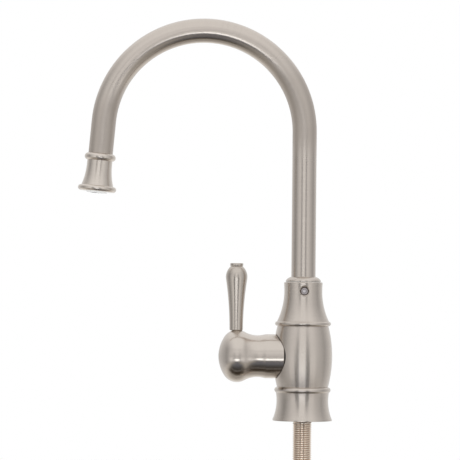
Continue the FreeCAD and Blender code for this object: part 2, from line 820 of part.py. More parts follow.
def handle_hub():
    """Flattened ball, necked down to a sleeve, in one run of tangent arcs."""
    body = valve_body_piece("handle_hub")
    offset = d.ball_offset
    round_centre_radius = d.ball_radius - d.ball_round
    nose_excess = (d.ball_nose * d.ball_nose + round_centre_radius * round_centre_radius
                   - d.ball_round * d.ball_round)
    dome = nose_excess / (2 * (d.ball_nose - d.ball_round))
    span = offset - d.hub_neck_offset
    rise = d.hub_neck_radius - round_centre_radius
    neck = (span * span + rise * rise - d.ball_round * d.ball_round) / (2 * (d.ball_round - rise))
    neck_centre_radius = d.hub_neck_radius + neck
    sleeve_centre_radius = d.sleeve_radius - d.sleeve_round
    climb = neck_centre_radius - sleeve_centre_radius
    sleeve_reach = root((neck + d.sleeve_round) * (neck + d.sleeve_round) - climb * climb)
    sleeve_start = d.hub_neck_offset - sleeve_reach

    dome_centre = (as_size(0), offset + d.ball_nose - dome)
    round_centre = (round_centre_radius, offset)
    neck_centre = (neck_centre_radius, d.hub_neck_offset)
    sleeve_centre = (sleeve_centre_radius, sleeve_start)
    dome_edge = between(dome_centre, round_centre, dome / (dome - d.ball_round))
    neck_edge = between(round_centre, neck_centre, d.ball_round / (d.ball_round + neck))
    sleeve_edge = between(sleeve_centre, neck_centre, d.sleeve_round / (d.sleeve_round + neck))

    socket = d.stem_radius + d.seat_gap
    socket_end = stem_end + d.socket_spare
    outline = Outline(sleeve_bore_radius, sleeve_end)
    outline.line(d.sleeve_radius - d.sleeve_edge, sleeve_end)
    outline.arc(d.sleeve_radius, sleeve_end + d.sleeve_edge, d.sleeve_edge, 1)
    outline.line(d.sleeve_radius, sleeve_start)
    outline.arc(*sleeve_edge, d.sleeve_round, 1)
    outline.arc(*neck_edge, neck, -1)
    outline.arc(*dome_edge, d.ball_round, 1)
    outline.arc(0, offset + d.ball_nose, dome, 1)
    outline.line(0, socket_end)
    outline.line(socket, socket_end)
    outline.line(socket, hub_floor)
    outline.line(sleeve_bore_radius, hub_floor)
    turned(body, outline)

    spot = sketch_on(body, "YZ_Plane", "lever_spot", lift=d.lever_seat)
    draw_circle(spot, 0, d.lever_offset, d.lever_foot_radius + d.seat_gap)
    extruded(body, "Pocket", spot, d.ball_radius - d.lever_seat + d.lever_chamfer, reverse=True)
    hole = sketch_on(body, "YZ_Plane", "stud_hole")
    draw_circle(hole, 0, d.lever_offset, d.stud_radius + d.seat_gap)
    extruded(body, "Pocket", hole, d.ball_radius, reverse=True)


def hub_bush():
    """Bush in the hub's sleeve that runs on the cartridge nut's guide, just clear of the pocket's floor."""
    low = d.pocket_offset + d.bush_play
    inner = d.nut_guide_radius + d.running_gap
    outer = sleeve_bore_radius - d.seat_gap
    turned(valve_body_piece("hub_bush"), rectangle(inner, low, outer, low + d.bush_length))


def lever():
    """Tapering lever with a swelling top and a button; its stud clamps the valve stem's flat."""
    slim = d.lever_swell_radius - d.lever_foot_radius
    height = d.lever_swell_height
    both = (slim * slim + height * height) / (2 * slim)
    taper = both - d.lever_swell_round
    foot = d.lever_seat
    taper_centre = (d.lever_foot_radius + taper, foot)
    swell_centre = (d.lever_swell_radius - d.lever_swell_round, foot + height)
    swell_edge = between(swell_centre, taper_centre, d.lever_swell_round / both)
    inset = d.lever_neck_radius - swell_centre[0]
    neck_height = swell_centre[1] + root(
        d.lever_swell_round * d.lever_swell_round - inset * inset)
    button_top = neck_height + d.button_height
    chamfer_top = foot + d.lever_chamfer
    sag = d.lever_chamfer * d.lever_chamfer / (2 * taper)
    outline = Outline(0, stem_flat + d.seat_gap)
    outline.line(d.stud_radius, stem_flat + d.seat_gap)
    outline.line(d.stud_radius, foot)
    outline.line(d.lever_foot_radius - d.lever_chamfer, foot)
    outline.line(d.lever_foot_radius + sag, chamfer_top)
    outline.arc(*swell_edge, taper, -1)
    outline.arc(d.lever_neck_radius, neck_height, d.lever_swell_round, 1)
    outline.line(d.button_radius, neck_height + d.button_flare)
    outline.line(d.button_radius, button_top - d.button_round)
    outline.arc(d.button_radius - d.button_round, button_top, d.button_round, 1)
    outline.line(0, button_top)
    turned(new_body("lever", x=-d.lever_offset, z=d.valve_height), outline)


def sector_ports(sketch, first_angle):
    """Two ports opposite each other, each a sector between two radii."""
    for angle in (first_angle, first_angle + 180):
        low = angle - d.port_half_angle
        high = angle + d.port_half_angle
        inner = d.port_inner_radius
        outer = d.port_outer_radius
        outline = Outline(inner * cosine(high), inner * sine(high))
        outline.arc(inner * cosine(low), inner * sine(low), inner, -1)
        outline.line(outer * cosine(low), outer * sine(low))
        outline.arc(outer * cosine(high), outer * sine(high), outer, 1)
        outline.draw(sketch)


def ceramic_disc(label, seat, first_angle):
    body = valve_body_piece(label)
    sketch = sketch_on(body, "XY_Plane", "face", lift=seat)
    draw_circle(sketch, 0, 0, d.disc_radius)
    sector_ports(sketch, first_angle)
    extruded(body, "Pad", sketch, d.disc_thickness)
    return body


def fixed_ceramic_disc():
    """Disc with its two ports above and below the handle's axis."""
    ceramic_disc("fixed_ceramic_disc", disc_seat, 0)


def turning_ceramic_disc():
    """Disc with its ports a quarter turn from the fixed ones, and a slot for the stem's tab."""
    body = ceramic_disc("turning_ceramic_disc", turning_disc_seat, 90)
    slot = sketch_on(body, "XY_Plane", "slot", lift=driver_seat)
    half = d.tab_width / 2 + d.seat_gap
    rectangle(-2 * d.disc_radius, -half, 2 * d.disc_radius, half).draw(slot)
    extruded(body, "Pocket", slot, d.tab_depth + d.seat_gap)


def seat_seal():
    """Rubber ring between the chamber's floor and the fixed disc."""
    outline = rectangle(d.seat_seal_bore, -d.chamber_back, d.seat_seal_radius, disc_seat)
    turned(valve_body_piece("seat_seal"), outline)


body_ring_middle = d.ledge_offset - d.body_ring_section - d.ring_groove_spare


def cartridge_body():
    """Brass sleeve round the discs, with two side windows, a flange and the stem's neck."""
    body = valve_body_piece("cartridge_body")
    flange_top_offset = d.ledge_offset + d.cartridge_flange_thickness
    ring_floor = d.chamber_radius - d.ring_gap - 2 * d.body_ring_section - d.seat_gap
    ring_low = body_ring_middle - d.body_ring_section - d.ring_groove_spare / 2
    ring_high = body_ring_middle + d.body_ring_section + d.ring_groove_spare / 2
    outline = Outline(d.sleeve_bore, disc_seat)
    outline.line(d.cartridge_radius, disc_seat)
    outline.line(d.cartridge_radius, ring_low)
    outline.line(ring_floor, ring_low)
    outline.line(ring_floor, ring_high)
    outline.line(d.cartridge_radius, ring_high)
    outline.line(d.cartridge_radius, d.ledge_offset)
    outline.line(d.cartridge_flange_radius, d.ledge_offset)
    outline.line(d.cartridge_flange_radius, flange_top_offset)
    outline.line(d.cartridge_neck_radius, flange_top_offset)
    outline.line(d.cartridge_neck_radius, d.cartridge_length)
    outline.line(stem_bore, d.cartridge_length)
    outline.line(stem_bore, cartridge_shoulder)
    outline.line(d.sleeve_bore, cartridge_shoulder)
    turned(body, outline)
    window = sketch_on(body, "YZ_Plane", "window")
    half = d.window_width / 2
    low = driver_seat + d.window_margin
    high = driver_top - d.window_margin
    rectangle(-half, low, half, high).draw(window)
    extruded(body, "Pocket", window, 3 * d.cartridge_radius, both_ways=True)


def handle_axis_ring(name, centre_radius, section, offset):
    return seal_ring(name, centre_radius, section, OUT_TO_HANDLE, -offset, d.valve_height)


def cartridge_o_ring():
    """Seal between the cartridge's sleeve and the chamber."""
    centre = d.chamber_radius - d.ring_gap - d.body_ring_section
    ring_set("cartridge_o_ring", [
        handle_axis_ring("cartridge_ring", centre, d.body_ring_section, body_ring_middle)])


def cartridge_nut():
    """Nut that holds the cartridge's flange on its ledge: thread, guide and hexagon."""
    body = valve_body_piece("cartridge_nut")
    low = d.ledge_offset + d.cartridge_flange_thickness
    guide_end = d.pocket_offset + d.nut_guide_length
    bore = d.cartridge_neck_radius + d.seat_gap
    outline = Outline(bore, low)
    outline.line(d.counterbore_radius - d.seat_gap, low)
    outline.line(d.counterbore_radius - d.seat_gap, d.pocket_offset)
    outline.line(d.nut_guide_radius, d.pocket_offset)
    outline.line(d.nut_guide_radius, guide_end)
    outline.line(bore, guide_end)
    turned(body, outline)
    head = sketch_on(body, "XY_Plane", "hexagon", lift=guide_end)
    hexagon(d.nut_flats).draw(head)
    draw_circle(head, 0, 0, bore)
    extruded(body, "Pad", head, d.nut_hex_length)


def stem_ring_offsets():
    return d.stem_ring_offset, d.stem_ring_offset + d.stem_ring_step


def valve_stem():
    """Stem with its disc driver, seal grooves, clip groove and the flat under the lever's stud."""
    body = valve_body_piece("valve_stem")
    ring_floor = stem_bore - d.ring_gap - 2 * d.stem_ring_section - d.seat_gap
    ring_half = d.stem_ring_section + d.ring_groove_spare / 2
    clip_floor = d.stem_radius - d.clip_groove_depth
    outline = Outline(0, driver_seat)
    outline.line(d.driver_radius, driver_seat)
    outline.line(d.driver_radius, driver_top)
    outline.line(d.stem_radius, driver_top)
    grooves = [(offset - ring_half, offset + ring_half, ring_floor) for offset in stem_ring_offsets()]
    grooves.append((clip_seat, clip_seat + d.clip_thickness + d.seat_gap, clip_floor))
    for low, high, floor in grooves:
        outline.line(d.stem_radius, low)
        outline.line(floor, low)
        outline.line(floor, high)
        outline.line(d.stem_radius, high)
    outline.line(d.stem_radius, stem_end)
    outline.line(0, stem_end)
    turned(body, outline)
    tab = sketch_on(body, "XY_Plane", "tab", lift=driver_seat)
    half = d.tab_width / 2
    rectangle(-d.driver_radius + half, -half, d.driver_radius - half, half).draw(tab)
    extruded(body, "Pad", tab, d.tab_depth, reverse=True)
    flat = sketch_on(body, "XZ_Plane", "flat")
    low = d.lever_offset - 2 * d.stud_radius
    rectangle(stem_flat, low, 2 * d.stem_radius, stem_end + d.stem_radius).draw(flat)
    extruded(body, "Pocket", flat, 4 * d.stem_radius, both_ways=True)


def stem_o_rings():
    """The two seals of the valve stem."""
    centre = stem_bore - d.ring_gap - d.stem_ring_section
    rings = []
    for name, offset in zip(("stem_ring_inner", "stem_ring_outer"), stem_ring_offsets()):
        rings.append(handle_axis_ring(name, centre, d.stem_ring_section, offset))
    ring_set("stem_o_rings", rings)


def stem_clip():
    """Open spring clip in the stem's groove, against the end of the cartridge's neck."""
    inner = d.stem_radius - d.clip_groove_depth + d.seat_gap
    outline = rectangle(inner, clip_seat, d.clip_radius, clip_seat + d.clip_thickness)
    turned(valve_body_piece("stem_clip"), outline, sweep=d.clip_angle)


def check_document():
    for item in doc.Objects:
        for trouble in ("Invalid", "Error"):
            if trouble in item.State:
                raise RuntimeError(f"{item.Label}: {item.State}")
    for piece in pieces:
        if piece.Shape.isNull() or not piece.Shape.isValid() or not piece.Shape.Solids:
            raise RuntimeError(f"{piece.Label}: no valid solid")


def export_pieces():
    os.makedirs("parts", exist_ok=True)
    for piece in pieces:
        piece.Shape.exportStep(os.path.join("parts", f"{piece.Label}.step"))
        print(f"{piece.Label}: {len(piece.Shape.Solids)} solid(s), {piece.Shape.Volume:.1f} mm3")


SUB_PARTS = [
    base_foot, base_gasket, valve_body, top_collar, collar_set_screw, shank, shank_seal,
    swivel_washer, spout_spigot, spout_o_rings, spout_tube, outlet_bell, outlet_insert,
    outlet_washer, handle_hub, hub_bush, lever, fixed_ceramic_disc, turning_ceramic_disc,
    seat_seal, cartridge_body, cartridge_o_ring, cartridge_nut, valve_stem, stem_o_rings, stem_clip,
]
for make in SUB_PARTS:
    make()
doc.recompute()
check_document()
export_pieces()
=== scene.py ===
import json
import math

import bmesh
import bpy
from mathutils import Matrix, Vector


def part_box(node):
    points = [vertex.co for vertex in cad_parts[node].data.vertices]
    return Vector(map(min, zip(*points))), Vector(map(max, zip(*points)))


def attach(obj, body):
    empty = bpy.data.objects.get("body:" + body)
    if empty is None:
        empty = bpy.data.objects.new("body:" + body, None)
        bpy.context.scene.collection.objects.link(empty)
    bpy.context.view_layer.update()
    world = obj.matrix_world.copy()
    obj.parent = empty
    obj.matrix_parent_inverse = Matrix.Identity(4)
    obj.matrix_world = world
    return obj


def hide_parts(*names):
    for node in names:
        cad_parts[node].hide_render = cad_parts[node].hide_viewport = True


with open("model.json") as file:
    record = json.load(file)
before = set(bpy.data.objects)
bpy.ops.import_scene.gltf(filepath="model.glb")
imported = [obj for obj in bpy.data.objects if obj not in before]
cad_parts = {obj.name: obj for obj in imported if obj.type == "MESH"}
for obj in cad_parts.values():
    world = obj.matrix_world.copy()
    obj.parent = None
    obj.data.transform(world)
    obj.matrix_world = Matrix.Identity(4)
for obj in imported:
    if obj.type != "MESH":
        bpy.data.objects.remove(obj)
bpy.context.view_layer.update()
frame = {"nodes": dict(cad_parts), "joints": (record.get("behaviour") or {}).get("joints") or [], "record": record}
NODES = frame["nodes"]
MOUNTS = {mount["name"]: mount for mount in frame["record"]["mounts"]}
JOINTS = {joint["name"]: joint for joint in frame["joints"]}
MM = 0.001

# Places read from the frame, in metres.
VALVE_AXIS = Vector(JOINTS["lever_turn"]["pos_m"])
_, TUBE_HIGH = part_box("spout_tube")
BELL_LOW, BELL_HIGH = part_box("outlet_bell")
BELL_MIDDLE = (BELL_LOW + BELL_HIGH) / 2
SHANK_LOW, SHANK_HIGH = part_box("shank")
SCREW_LOW, SCREW_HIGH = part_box("collar_set_screw")
SCREW_MIDDLE = (SCREW_LOW + SCREW_HIGH) / 2
SCREW_RADIUS = (SCREW_HIGH.z - SCREW_LOW.z) / 2

# The gooseneck's bend, the lean of its tail and the water hole at its end.
TUBE_RADIUS = TUBE_HIGH.y
BEND_RADIUS = 59.25 * MM
BEND_CENTRE = Vector((-BEND_RADIUS, 0, TUBE_HIGH.z - TUBE_RADIUS - BEND_RADIUS))
TAIL_LEAN = math.radians(5.1)
OUTLET_HOLE_RADIUS = 3.7 * MM

# Axes that the pieces are turned about.
UP = (0.0, 0.0, 1.0)
OUT = (-1.0, 0.0, 0.0)
ACROSS = (0.0, 1.0, 0.0)
TAIL = (math.sin(TAIL_LEAN), 0.0, math.cos(TAIL_LEAN))
LEVER_PLACE = (VALVE_AXIS.x, 0.0, 0.0)

# The photograph's camera.
VIEW_WIDTH = 270.5 * MM
VIEW_CENTRE = Vector((-43.5, 0, 111.5)) * MM
CAMERA_DISTANCE = 1.5
CAMERA_HEIGHT = 75 * MM
CAMERA_SIDE = -105 * MM
CAMERA_ROLL = math.radians(0.55)
SENSOR_WIDTH = 36.0


class Graph:
    """A node tree with short ways to add nodes and link them."""

    def __init__(self, owner):
        owner.use_nodes = True
        self.tree = owner.node_tree
        self.tree.nodes.clear()

    def add(self, kind, inputs=None, **settings):
        """Adds a node; an input's value is a number, a colour, a vector or another node's output."""
        node = self.tree.nodes.new(kind)
        for name, value in settings.items():
            setattr(node, name, value)
        for key, value in (inputs or {}).items():
            if isinstance(value, bpy.types.NodeSocket):
                self.tree.links.new(value, node.inputs[key])
            else:
                node.inputs[key].default_value = value
        return node

    def math(self, operation, first, second=0.0):
        return self.add("ShaderNodeMath", {0: first, 1: second}, operation=operation).outputs[0]

    def product(self, first, *others):
        for other in others:
            first = self.math("MULTIPLY", first, other)
        return first

    def weighted(self, terms):
        """The sum of values, each times its weight."""
        total, *others = [self.math("MULTIPLY", value, weight) for value, weight in terms]
        for other in others:
            total = self.math("ADD", total, other)
        return total

    def vector(self, operation, first, second=(0, 0, 0)):
        node = self.add("ShaderNodeVectorMath", {0: first, 1: second}, operation=operation)
        return node.outputs["Value" if operation in ("DOT_PRODUCT", "LENGTH") else "Vector"]

    def parts(self, vector):
        """The X, Y and Z of a vector."""
        return self.add("ShaderNodeSeparateXYZ", {0: vector}).outputs

    def step(self, value, start, end, low=0.0, high=1.0):
        """A smooth step from low at start to high at end."""
        inputs = {"Value": value, "To Min": low, "To Max": high}
        if end < start:
            start, end = end, start
            inputs["To Min"], inputs["To Max"] = high, low
        inputs["From Min"] = start
        inputs["From Max"] = end
        return self.add("ShaderNodeMapRange", inputs, interpolation_type="SMOOTHSTEP").outputs["Result"]

    def bump_of(self, value, centre, half, soft):
        """One within half of centre, falling smoothly to nothing over soft."""
        away = self.math("ABSOLUTE", self.math("SUBTRACT", value, centre))
        return self.step(away, half, half + soft, 1.0, 0.0)

    def ramp(self, value, stops, blend="EASE"):
        """A colour by value; the stops are positions and their colours."""
        node = self.add("ShaderNodeValToRGB", {"Fac": value})
        node.color_ramp.interpolation = blend
        elements = node.color_ramp.elements
        while len(elements) < len(stops):
            elements.new(1.0)
        for element, (position, colour) in zip(elements, stops):
            element.position = position
            element.color = colour if len(colour) == 4 else (*colour, 1.0)
        return node.outputs["Color"]

    def mix(self, share, first, second):
        inputs = {"Factor": share, 6: first, 7: second}
        return self.add("ShaderNodeMix", inputs, data_type="RGBA").outputs[2]

    def noise(self, vector, scale, detail=3.0, roughness=0.55):
        inputs = {"Vector": vector, "Scale": scale, "Detail": detail, "Roughness": roughness}
        return self.add("ShaderNodeTexNoise", inputs).outputs["Fac"]

    def object_place(self):
        return self.add("ShaderNodeTexCoord").outputs["Object"]

    def away_from(self, place, axis, through):
        """Distance of a place from an axis through a point."""
        across = self.vector("CROSS_PRODUCT", axis, self.vector("SUBTRACT", place, through))
        return self.vector("LENGTH", across)

    def surface(self, shader):
        self.add("ShaderNodeOutputMaterial", {"Surface": shader.outputs[0]})


def new_material(name):
    material = bpy.data.materials.new(name)
    return material, Graph(material)


def grey(level):
    return (level, level, level, 1.0)


def tone(colour, factor):
    return tuple(channel * factor for channel in colour)


# Nearly all values of a noise lie between these two.
NOISE_LOW = 0.3
NOISE_HIGH = 0.7

# Brushed nickel. The brush lines run round each turned piece, so the sheen is drawn out along its axis.
NICKEL = (0.65, 0.59, 0.535)
# The same nickel, copied darker for the lever and the tube as painted shade, and lighter for the outlet as painted
# light.
LEVER_NICKEL_SHADED = (0.60, 0.545, 0.49)
OUTLET_NICKEL_LIT = (0.715, 0.65, 0.59)
TUBE_NICKEL_SHADED = (0.63, 0.57, 0.517)
SHANK_PLATING = (0.94, 0.815, 0.70)
BRUSH_ROUGHNESS = 0.235
BRUSH_STRETCH = 0.88
UPRIGHT_ROUGHNESS = 0.255
UPRIGHT_STRETCH = 0.96
TUBE_ROUGHNESS = 0.25
TUBE_STRETCH = 0.72
QUARTER_TURN = 0.25
# Scales of the noise along the run and across it, per metre.
FINE_LINES = (9000.0, 45.0)
BROAD_STREAKS = (1100.0, 30.0)
CLOUD_SCALE = 60.0
LINE_SHARE = 0.45
STREAK_SHARE = 0.35
CLOUD_SHARE = 0.2
# Tones of the metal by the blend of the three.
BRUSH_TONES = [(0.25, 0.91), (0.5, 1.0), (0.75, 1.07)]
# Tone of the painted shade in the thread's roots.
ROOT_SHADE_TONE = 0.82
BRUSH_GLOSS_SPREAD = 0.02
STREAK_RELIEF = 0.6
BRUSH_RELIEF = 0.05
BRUSH_DEPTH = 0.02 * MM
# Near the ends of its bend the gooseneck is brushed more coarsely, at these heights.
COARSE_ON_TAIL = 166 * MM
COARSE_ON_LEG = 183 * MM
COARSE_HALF = 15 * MM
COARSE_FADE = 18 * MM
COARSE_GAIN = 0.28


def brushed_metal(name, axis=None, through=(0, 0, 0), colour=NICKEL, roughness=BRUSH_ROUGHNESS,
                  stretch=BRUSH_STRETCH, root_shade=None):
    """Satin metal brushed round an axis through a point, or round the gooseneck where no axis is given.

    The last argument gives two distances from the axis, between which painted shade in the thread's roots fades
    out to the plain metal.
    """
    material, graph = new_material(name)
    place = graph.object_place()
    if axis is None:
        along, run = gooseneck_run(graph, place)
        turn = 0.0
    else:
        run = graph.vector("DOT_PRODUCT", place, axis)
        along = graph.vector("CROSS_PRODUCT", axis, graph.vector("SUBTRACT", place, through))
        turn = QUARTER_TURN
    tangent = graph.add("ShaderNodeVectorTransform", {"Vector": along}, vector_type="VECTOR",
                        convert_from="OBJECT", convert_to="WORLD").outputs["Vector"]

    lines = brush_lines(graph, place, run, *FINE_LINES)
    streaks = brush_lines(graph, place, run, *BROAD_STREAKS)
    cloud = graph.noise(place, CLOUD_SCALE, detail=2.0)
    blend = graph.weighted([(lines, LINE_SHARE), (streaks, STREAK_SHARE), (cloud, CLOUD_SHARE)])
    shade = graph.ramp(blend, [(position, tone(colour, factor)) for position, factor in BRUSH_TONES])
    # Painted shade: darker towards the roots of the thread.
    if root_shade:
        unshaded = graph.step(graph.away_from(place, axis, through), *root_shade)
        shade = graph.mix(unshaded, (*tone(colour, ROOT_SHADE_TONE), 1.0), shade)
    rough = graph.step(blend, NOISE_LOW, NOISE_HIGH,
                       roughness - BRUSH_GLOSS_SPREAD, roughness + BRUSH_GLOSS_SPREAD)
    if axis is None:
        rough = graph.math("ADD", rough, graph.product(coarse_share(graph, place), COARSE_GAIN))
    relief = graph.math("ADD", lines, graph.product(streaks, STREAK_RELIEF))
    normal = graph.add("ShaderNodeBump", {
        "Strength": BRUSH_RELIEF, "Distance": BRUSH_DEPTH, "Height": relief})
    graph.surface(graph.add("ShaderNodeBsdfPrincipled", {
        "Base Color": shade,
        "Metallic": 1.0,
        "Roughness": rough,
        "Anisotropic": stretch,
        "Anisotropic Rotation": turn,
        "Tangent": tangent,
        "Normal": normal.outputs["Normal"],
    }))
    return material


def brush_lines(graph, place, run, fine, broad):
    """Noise in lines across the run: `fine` is its scale along the run, `broad` the scale across it."""
    parts = graph.parts(graph.vector("MULTIPLY", place, (broad, broad, broad)))
    vector = graph.add("ShaderNodeCombineXYZ", {
        "X": graph.math("ADD", parts["X"], parts["Z"]),
        "Y": parts["Y"],
        "Z": graph.product(run, fine),
    }).outputs["Vector"]
    return graph.noise(vector, 1.0, roughness=0.6)


def gooseneck_run(graph, place):
    """The direction of the tube's run at a point, and the length of the run up to it."""
    offset = graph.parts(graph.vector("SUBTRACT", place, tuple(BEND_CENTRE)))
    across = offset["X"]
    above = graph.math("MAXIMUM", offset["Z"], 0.0)
    below = graph.math("MINIMUM", offset["Z"], 0.0)
    along = graph.add("ShaderNodeCombineXYZ", {"X": graph.math("SUBTRACT", 0.0, above), "Z": across})
    angle = graph.math("ARCTAN2", above, across)
    side = graph.math("SIGN", across)
    run = graph.weighted([(angle, BEND_RADIUS), (below, side)])
    return along.outputs["Vector"], run


def coarse_share(graph, place):
    """One where the gooseneck is brushed coarsely, nothing elsewhere."""
    spot = graph.parts(place)
    middle = graph.step(spot["X"], BEND_CENTRE.x - TUBE_RADIUS, BEND_CENTRE.x + TUBE_RADIUS,
                        COARSE_ON_TAIL, COARSE_ON_LEG)
    return graph.bump_of(graph.math("SUBTRACT", spot["Z"], middle), 0.0, COARSE_HALF, COARSE_FADE)


# Plainer finishes of the pieces inside, below and at the outlet.
GRAIN_SHARE = 0.6
GRAIN_TO_CLOUD = 12.0
GRAIN_GLOSS_SPREAD = 0.05
GRAIN_DEPTH = 0.05 * MM


def soft_finish(name, colour, roughness, grain, spread, relief, metallic=0.0):
    """A finish with a fine grain in its colour, gloss and relief; `grain` is the noise's scale."""
    material, graph = new_material(name)
    place = graph.object_place()
    fine = graph.noise(place, grain, detail=4.0, roughness=0.6)
    cloud = graph.noise(place, grain / GRAIN_TO_CLOUD, detail=2.0)
    blend = graph.weighted([(fine, GRAIN_SHARE), (cloud, 1.0 - GRAIN_SHARE)])
    shade = graph.ramp(blend, [
        (NOISE_LOW, tone(colour, 1.0 - spread)), (NOISE_HIGH, tone(colour, 1.0 + spread))])
    normal = graph.add("ShaderNodeBump", {"Strength": relief, "Distance": GRAIN_DEPTH, "Height": fine})
    graph.surface(graph.add("ShaderNodeBsdfPrincipled", {
        "Base Color": shade,
        "Metallic": metallic,
        "Roughness": graph.step(blend, NOISE_LOW, NOISE_HIGH,
                                roughness - GRAIN_GLOSS_SPREAD, roughness + GRAIN_GLOSS_SPREAD),
        "Normal": normal.outputs["Normal"],
    }))
    return material


MILKY_TONES = [(NOISE_LOW, (0.93, 0.93, 0.92)), (NOISE_HIGH, (0.97, 0.97, 0.96))]
MILKY_GLOSS = (0.10, 0.16)
MILKY_GRAIN = 900.0
PLASTIC_IOR = 1.55
HOLE_SHADE = (0.02, 0.02, 0.022, 1.0)
# Distances from the outlet's axis between which the plastic goes from white to the painted shade inside its hole.
HOLE_EDGE = (OUTLET_HOLE_RADIUS + 0.1 * MM, OUTLET_HOLE_RADIUS + 0.02 * MM)


def outlet_plastic(name):
    """Glossy white plastic, with painted shade inside its hole."""
    material, graph = new_material(name)
    place = graph.object_place()
    # Painted shade: dark inside the hole.
    hole_shade_share = graph.step(graph.away_from(place, TAIL, tuple(BELL_MIDDLE)), *HOLE_EDGE)
    fine = graph.noise(place, MILKY_GRAIN)
    graph.surface(graph.add("ShaderNodeBsdfPrincipled", {
        "Base Color": graph.mix(hole_shade_share, graph.ramp(fine, MILKY_TONES), HOLE_SHADE),
        "Roughness": graph.step(fine, NOISE_LOW, NOISE_HIGH, *MILKY_GLOSS),
        "IOR": PLASTIC_IOR,
    }))
    return material


# Painted light and shade on the set screw, round its steel's own grey.
SOCKET_GLINT = (0.70, 0.67, 0.68)
SOCKET_WALL_SHADE = (0.30, 0.27, 0.28)
SCREW_FACE = (0.50, 0.46, 0.46)
SCREW_RIM_SHADE = (0.30, 0.27, 0.27)
# The screw's colours by the share of its radius: a painted highlight at the bottom of the socket, painted shade on
# its wall and at the screw's rim, and the steel's own grey on its face.
SCREW_LIGHT_AND_SHADE = [
    (0.34, SOCKET_GLINT), (0.44, SOCKET_WALL_SHADE), (0.52, SOCKET_WALL_SHADE),
    (0.62, SCREW_FACE), (0.72, SCREW_FACE), (0.84, SCREW_RIM_SHADE),
]
SCREW_GRAIN = 1800.0
SCREW_GLOSS = (0.27, 0.37)


def screw_steel(name):
    """Steel with a painted highlight at the bottom of the socket, painted shade on the socket's wall and the
    screw's rim, and grey on its face.
    """
    material, graph = new_material(name)
    place = graph.object_place()
    fine = graph.noise(place, SCREW_GRAIN)
    share = graph.math("DIVIDE", graph.away_from(place, ACROSS, tuple(SCREW_MIDDLE)), SCREW_RADIUS)
    graph.surface(graph.add("ShaderNodeBsdfPrincipled", {
        "Base Color": graph.ramp(share, SCREW_LIGHT_AND_SHADE),
        "Metallic": 1.0,
        "Roughness": graph.step(fine, NOISE_LOW, NOISE_HIGH, *SCREW_GLOSS),
    }))
    return material


def paint(node, material):
    slots = NODES[node].data.materials
    slots.clear()
    slots.append(material)


# The shank's thread: 7/16 inch, 20 turns per inch.
THREAD_RADIUS = MOUNTS["shank"]["dims"]["r_mm"] * MM
THREAD_PITCH = 1.27 * MM
THREAD_DEPTH = 0.65 * MM
THREAD_START = 0.4 * MM
THREAD_FADE = 1.6 * MM
END_CHAMFER = 0.8 * MM
TENON_RADIUS = 5.0 * MM
WATERWAY_RADIUS = 2.6 * MM
INLET_RADIUS = MOUNTS["inlet"]["dims"]["r_mm"] * MM
INLET_DEPTH = MOUNTS["inlet"]["dims"]["length_mm"] * MM
THREAD_SIDES = 64
# Shares of one turn of the thread at which its profile has a corner, and how deep it is cut there.
THREAD_PROFILE = [(0.0, 0.0), (0.36, 0.0), (0.50, 0.5), (0.64, 1.0), (0.72, 1.0), (0.86, 0.5)]
# Distances from the axis between which the painted shade in the thread's roots ends.
THREAD_ROOT_SHADE = (THREAD_RADIUS - 0.8 * THREAD_DEPTH, THREAD_RADIUS - 0.1 * THREAD_DEPTH)
WELD = 0.002 * MM
SHARP_ANGLE = math.radians(28)


def thread_radius(height, cut):
    """Radius at a height of the thread, cut by a share of its full depth."""
    fade = min(max((-height - THREAD_START) / THREAD_FADE, 0.0), 1.0)
    end = THREAD_RADIUS - END_CHAMFER + (height - SHANK_LOW.z)
    return min(THREAD_RADIUS - THREAD_DEPTH * cut * fade, end)


def point_at(radius, side, height):
    """A point of a ring; `side` counts the ring's sides."""
    angle = 2 * math.pi * side / THREAD_SIDES
    return (radius * math.cos(angle), radius * math.sin(angle), height)


def threaded_rows():
    """Rows of points that follow the helix, held between the shank's end and its shoulder."""
    turns = math.ceil(-SHANK_LOW.z / THREAD_PITCH) + 1
    rows = []
    for turn in range(-1, turns):
        for share, cut in THREAD_PROFILE:
            row = []
            for side in range(THREAD_SIDES + 1):
                climb = (turn + share + side / THREAD_SIDES) * THREAD_PITCH
                height = min(max(SHANK_LOW.z + climb, SHANK_LOW.z), 0.0)
                row.append(point_at(thread_radius(height, cut), side, height))
            rows.append(row)
    return rows


def ring(radius, height):
    return [point_at(radius, side, height) for side in range(THREAD_SIDES)]


def mesh_object(name, points, faces):
    shape = bmesh.new()
    corners = [shape.verts.new(point) for point in points]
    for face in faces:
        shape.faces.new([corners[index] for index in face])
    bmesh.ops.remove_doubles(shape, verts=shape.verts, dist=WELD)
    bmesh.ops.dissolve_degenerate(shape, edges=shape.edges, dist=WELD)
    bmesh.ops.recalc_face_normals(shape, faces=shape.faces)
    mesh = bpy.data.meshes.new(name)
    shape.to_mesh(mesh)
    shape.free()
    mesh.shade_smooth()
    mesh.set_sharp_from_angle(angle=SHARP_ANGLE)
    piece = bpy.data.objects.new(name, mesh)
    bpy.context.scene.collection.objects.link(piece)
    return piece


